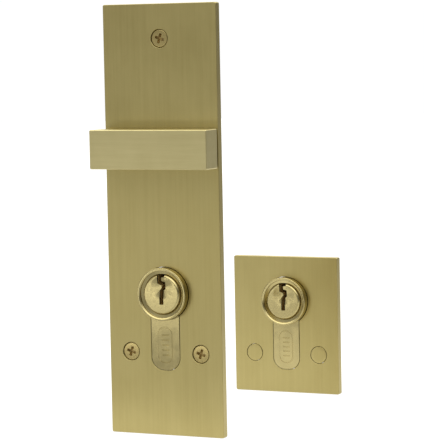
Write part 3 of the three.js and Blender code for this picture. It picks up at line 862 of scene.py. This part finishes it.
def cylinder_body(side, sizes):
    """The body with its mouth and bore, cam slot, fixing hole, pin chambers and a plain engraved mark."""
    low, high = reach(f"{side}_cylinder_body")
    centre = axis_of(side)
    at = (centre[0], 0, centre[2])
    cam_low, cam_high = reach(f"{side}_cam")
    slot_low, slot_high = cam_low[1] - 0.0014, cam_high[1] + 0.0004
    bore = PLUG + 0.0001
    mouth = (
        (sizes.mouth_rim, low[1] - 0.001), (sizes.mouth_rim, low[1]), (sizes.mouth, low[1] + 0.0003),
        (sizes.mouth, low[1] + sizes.mouth_depth), (bore, low[1] + sizes.mouth_depth + 0.0002),
        (bore, slot_low + 0.001),
    )
    tail = np.add(through(slot_high, high[1], 0.0002, 0.002), (TAIL + 0.0001, 0))
    window = box_outline(0.03, SLOT_TOP - WEB_TOP, 0.0004)
    cuts = [
        cutter(round_outline, ease(mouth, 0.0001), at),
        cutter(round_outline, tail, at),
        cutter(window, ((0, slot_low), (0, slot_high)), (at[0], 0, at[2] + (SLOT_TOP + WEB_TOP) / 2)),
    ]
    drill = along(sweep(round_outline, ((CROSS_HOLE, -0.01), (CROSS_HOLE, 0.01)))[:, ::2], "X")
    cuts.append(solid("cutter", drill + (at[0], (slot_low + slot_high) / 2, at[2] - CROSS_HOLE_DROP)))
    column = ((CHAMBER, low[2] - 0.001), (CHAMBER, at[2] - 0.005))
    for count in (1, 2, 3):
        pin = middle(f"{side}_driver_pin_{count}")
        chamber = along(sweep(round_outline, column)[:, ::2], "Z")
        cuts.append(solid("cutter", chamber + (pin[0], pin[1], 0)))
    depth = ((0.00008, centre[1] - 0.0003), (0, centre[1] + 0.00002), (-0.00008, centre[1] + 0.00011))
    mark = (at[0], 0, at[2] - MARK_DROP)
    for count in range(MARK_BARS):
        bar = box_outline(0.0026, 0.0004, 0.00015, 3)
        rise = ((MARK_BARS - 1) / 2 - count) * MARK_PITCH
        cuts.append(cutter(bar, depth, (at[0], 0, mark[2] + rise)))
    ring = cutter(box_outline(0.0053, 0.0116, 0.0024), depth, mark)
    left = ((0.00008, centre[1] + 0.0002), (0, centre[1] + 0.00002), (-0.0001, centre[1] - 0.0004))
    island = solid("core", sweep(box_outline(0.0045, 0.0108, 0.0020), left, mark))
    cuts.append(carve(ring, island))
    piece = carve(cylinder_blank(side, sizes), *cuts)
    done(piece, "root", [f"{side}_cylinder_body"], finish_named(f"{side} turned brass"))


def cylinder_plug(side, sizes):
    """The plug: chamfered face with a dished key guide and a zigzag keyway, pin holes, and a flatted stem."""
    low, high = reach(f"{side}_plug")
    centre = axis_of(side)
    at = (centre[0], 0, centre[2])
    cam_low, cam_high = reach(f"{side}_cam")
    shoulder, stem_end = cam_low[1] - 0.0016, cam_high[1] + 0.0002
    clip_low, clip_high = reach(f"{side}_plug_clip")
    seat_low, seat_high = clip_low[1] - 0.0001, clip_high[1] + 0.0001
    edge = sizes.plug_edge
    profile = ease(
        (
            (PLUG / 2, low[1]), (PLUG - edge, low[1]), (PLUG, low[1] + edge), (PLUG, shoulder),
            (STEM, shoulder), (STEM, seat_low), (SEAT, seat_low), (SEAT, seat_high), (STEM, seat_high),
            (STEM, stem_end), (TAIL, stem_end), (TAIL, high[1]), (TAIL / 2, high[1]),
        ),
        0.00014,
        3,
    )
    piece = solid(f"{side}_plug_keyed", sweep(round_outline, profile, at))
    slot = fixed_outline(np.array(KEYWAY) / 1000)
    bottom = (0.0012, low[1] + sizes.dish_depth)
    hollow = ((sizes.dish + 0.0006, low[1] - 0.0002), (sizes.dish, low[1]), bottom)
    cuts = [
        cutter(round_outline, hollow, (at[0] + 0.00025, 0, at[2] + 0.00215)),
        cutter(slot, ((0, low[1] - 0.001), (0, shoulder - 0.0006)), at),
    ]
    flat, reached = box_outline(0.003, 0.012, 0.0002, 2), ((0, shoulder + 0.0001), (0, stem_end))
    for flank in (-1, 1):
        cuts.append(cutter(flat, reached, (at[0] + flank * (FLAT + 0.0015), 0, at[2])))
    column = ((CHAMBER, at[2] - 0.007), (CHAMBER, at[2] - 0.0009))
    for count in (1, 2, 3):
        pin = middle(f"{side}_key_pin_{count}")
        hole = along(sweep(round_outline, column)[:, ::2], "Z")
        cuts.append(solid("cutter", hole + (pin[0], pin[1], 0)))
    carve(piece, *cuts)
    done(piece, f"{side}_plug_set", [f"{side}_plug"], finish_named(f"{side} plug brass"))


def cylinder_cam(side):
    """The cam, a ring with a tapered lug, its bore flatted to the stem; and the clip in front of it."""
    low, high = reach(f"{side}_cam")
    centre = axis_of(side)
    at = (centre[0], 0, centre[2])
    ring = (high[0] - low[0]) / 2
    outline = drop_outline(ring, 0.0031, 0.0022, low[2] - centre[2], 0.0022)
    piece = solid(f"{side}_cam_eased", sweep(outline, prism(low[1], high[1], 0.0003), at))
    keyed = box_outline(2 * (FLAT + CAM_CLEAR), 2 * (STEM + CAM_CLEAR), 0.0028, 10)
    carve(piece, cutter(keyed, through(low[1], high[1], 0.0002), at))
    done(piece, f"{side}_plug_set", [f"{side}_cam"], finish_named("steel"))
    low, high = reach(f"{side}_plug_clip")
    open_ring = clip_outline(SEAT + 0.0001, (high[0] - low[0]) / 2, math.radians(60))
    clip = solid(f"{side}_plug_clip_open", sweep(open_ring, prism(low[1], high[1], 0.0001), at))
    done(clip, f"{side}_plug_set", [f"{side}_plug_clip"], finish_named("steel"))


class DEADBOLT_OT_cylinders(bpy.types.Operator):
    """Makes the two profile cylinders: body, plug, cam and clip"""

    bl_idname = "deadbolt.cylinders"
    bl_label = "Profile cylinders"

    def execute(self, context):
        sizes = context.scene.deadbolt_sizes
        for side in SIDES:
            cylinder_body(side, sizes)
            cylinder_plug(side, sizes)
            cylinder_cam(side)
        return {"FINISHED"}


class DEADBOLT_OT_pins(bpy.types.Operator):
    """Gives the pins, springs and chamber caps their finishes; their shapes are the frame's own"""

    bl_idname = "deadbolt.pins"
    bl_label = "Pins and springs"

    def execute(self, context):
        finishes = {"key_pin": "pin brass", "driver_pin": "pin brass", "pin_spring": "steel"}
        for side in SIDES:
            for count in (1, 2, 3):
                for kind in ("key_pin", "driver_pin", "pin_spring", "chamber_cap"):
                    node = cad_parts[f"{side}_{kind}_{count}"]
                    node.data.materials.clear()
                    node.data.materials.append(finish_named(finishes.get(kind, f"{side} turned brass")))
        return {"FINISHED"}


# ------------------------------------------------------------------ studio

WHITE = 1.02  # brightness behind the plates, just past white
# The floor's two emission colours are painted light: a bright painted glow behind and left of the plates, and
# a dim one in front of them and to their right as painted shade in their reflections.
FLOOR_PAINTED_SHADE, FLOOR_PAINTED_GLOW = (0.20, 0.20, 0.20), (0.90, 0.90, 0.90)
FADE = (0.936, 0.352)  # the direction, in X and Y, in which the floor's light fades to the right


def white_surround(stage):
    """The surround, by direction: white behind and to the left, darker in front, darkest to the right, and
    bright overhead."""
    world = bpy.data.worlds.new("white surround")
    bpy.context.scene.world = world
    world.use_nodes = True
    tree = world.node_tree
    way = add_node(tree, "ShaderNodeTexCoord", {}, {}, "Generated")

    def share(axis, low, high):
        along = add_node(tree, "ShaderNodeSeparateXYZ", {}, {0: way}, axis)
        smooth = {"interpolation_type": "SMOOTHSTEP"}
        return add_node(tree, "ShaderNodeMapRange", smooth, {0: along, 1: low, 2: high})

    behind, right, above = share("Y", 0.1, 0.6), share("X", -0.1, 0.4), share("Z", 0.25, 0.8)
    level = stage.front + (WHITE - stage.front) * behind
    level = level + (stage.right - level) * right
    level = level + (stage.overhead - level) * above
    back = tree.nodes["Background"]
    back.inputs["Color"].default_value = (1, 1, 1, 1)
    tree.links.new(level.socket, back.inputs["Strength"])


def painted_glow_floor():
    """A very large disc under the plates' lower edges, whose emission is painted light: a bright painted glow
    behind them and to their left, dimmed in front of them and to their right as painted shade.
    """
    level = CAD_BOX[0][2] - 0.00005
    rings = sweep(round_outline, ((3.0, -0.001), (3.0, 0.0)))
    floor = solid("floor", along(rings, "Z") + (0, 0, level))
    finish = Finish("floor painted glow", 0.0, Specular_IOR_Level=0.1)
    grain = finish.noise((30, 30, 30), 2.0)
    finish.feed("Base Color", finish.blend(grain, (0.16, 0.16, 0.16), (0.18, 0.18, 0.18)))
    finish.feed("Roughness", finish.range(grain, 0.0, 1.0, 0.8, 0.9))
    depth = finish.node("ShaderNodeSeparateXYZ", {}, {0: finish.place}, "Y")
    across = finish.node("ShaderNodeSeparateXYZ", {}, {0: finish.place}, "X")
    front = finish.range(depth, -0.09, -0.02)
    right = finish.range(across * FADE[0] + depth * FADE[1], 0.085, 0.38)
    painted_glow_share = front * (1 - right)
    # Painted light: the emission is the bright painted glow near and behind the plates on the left, and
    # painted shade in front of them and to their right.
    finish.feed("Emission Color", finish.blend(painted_glow_share, FLOOR_PAINTED_SHADE, FLOOR_PAINTED_GLOW))
    finish.shader.inputs["Emission Strength"].default_value = 1.0
    floor.data.materials.append(finish.material)


def soft_light(name, power, size, place, target):
    """An area light that looks at a point."""
    light = bpy.data.lights.new(name, "AREA")
    light.energy = power
    light.shape = "RECTANGLE"
    light.size, light.size_y = size
    lamp = bpy.data.objects.new(name, light)
    heading = Vector(target) - Vector(place)
    turn = heading.to_track_quat("-Z", "Y").to_matrix().to_4x4()
    lamp.matrix_world = Matrix.Translation(place) @ turn
    bpy.context.scene.collection.objects.link(lamp)


def camera(stage):
    """The camera, right of the plates' axis and a little above, looking past the interior cylinder."""
    lens = bpy.data.cameras.new("camera")
    lens.lens = stage.lens
    lens.sensor_width = 36
    lens.clip_end = 10
    eye = bpy.data.objects.new("camera", lens)
    turn = Matrix.Rotation(stage.yaw, 4, "Z") @ Matrix.Rotation(math.pi / 2 - stage.pitch, 4, "X")
    eye.matrix_world = Matrix.Translation(stage.eye) @ turn @ Matrix.Rotation(stage.roll, 4, "Z")
    bpy.context.scene.collection.objects.link(eye)
    bpy.context.scene.camera = eye


class DEADBOLT_OT_stage(bpy.types.Operator):
    """Makes the white surround, the pale floor, the strip light and the camera"""

    bl_idname = "deadbolt.stage"
    bl_label = "Studio"

    def execute(self, context):
        stage = context.scene.deadbolt_stage
        context.scene.view_settings.view_transform = "Standard"
        white_surround(stage)
        painted_glow_floor()
        soft_light("strip light", stage.strip, (0.2, 0.035), (-0.153, -0.3, -0.05), (0, 0, -0.02))
        camera(stage)
        return {"FINISHED"}


# ------------------------------------------------------------------ add-on

OPERATORS = (
    DEADBOLT_OT_interior_plate,
    DEADBOLT_OT_exterior_plate,
    DEADBOLT_OT_screws,
    DEADBOLT_OT_posts,
    DEADBOLT_OT_turn,
    DEADBOLT_OT_cylinders,
    DEADBOLT_OT_pins,
    DEADBOLT_OT_stage,
)


class DEADBOLT_PT_panel(bpy.types.Panel):
    """Lists the sizes, the colours and the steps"""

    bl_idname = "DEADBOLT_PT_panel"
    bl_label = "Deadbolt"
    bl_space_type = "VIEW_3D"
    bl_region_type = "UI"
    bl_category = "Deadbolt"

    def draw(self, context):
        layout = self.layout
        for key in GROUPS:
            group = getattr(context.scene, key)
            for name in group.bl_rna.properties.keys()[2:]:
                layout.prop(group, name)
        for operator in OPERATORS:
            layout.operator(operator.bl_idname)


GROUPS = {
    "deadbolt_sizes": DeadboltSizes,
    "deadbolt_colours": DeadboltColours,
    "deadbolt_stage": DeadboltStage,
}


def register():
    for made in (*GROUPS.values(), *OPERATORS, DEADBOLT_PT_panel):
        bpy.utils.register_class(made)
    for name, group in GROUPS.items():
        setattr(bpy.types.Scene, name, PointerProperty(type=group))


def unregister():
    for name in GROUPS:
        delattr(bpy.types.Scene, name)
    for made in (DEADBOLT_PT_panel, *OPERATORS, *GROUPS.values()):
        bpy.utils.unregister_class(made)


def main():
    register()
    for operator in OPERATORS:
        family, name = operator.bl_idname.split(".")
        getattr(getattr(bpy.ops, family), name)()


if __name__ == "__main__":
    main()
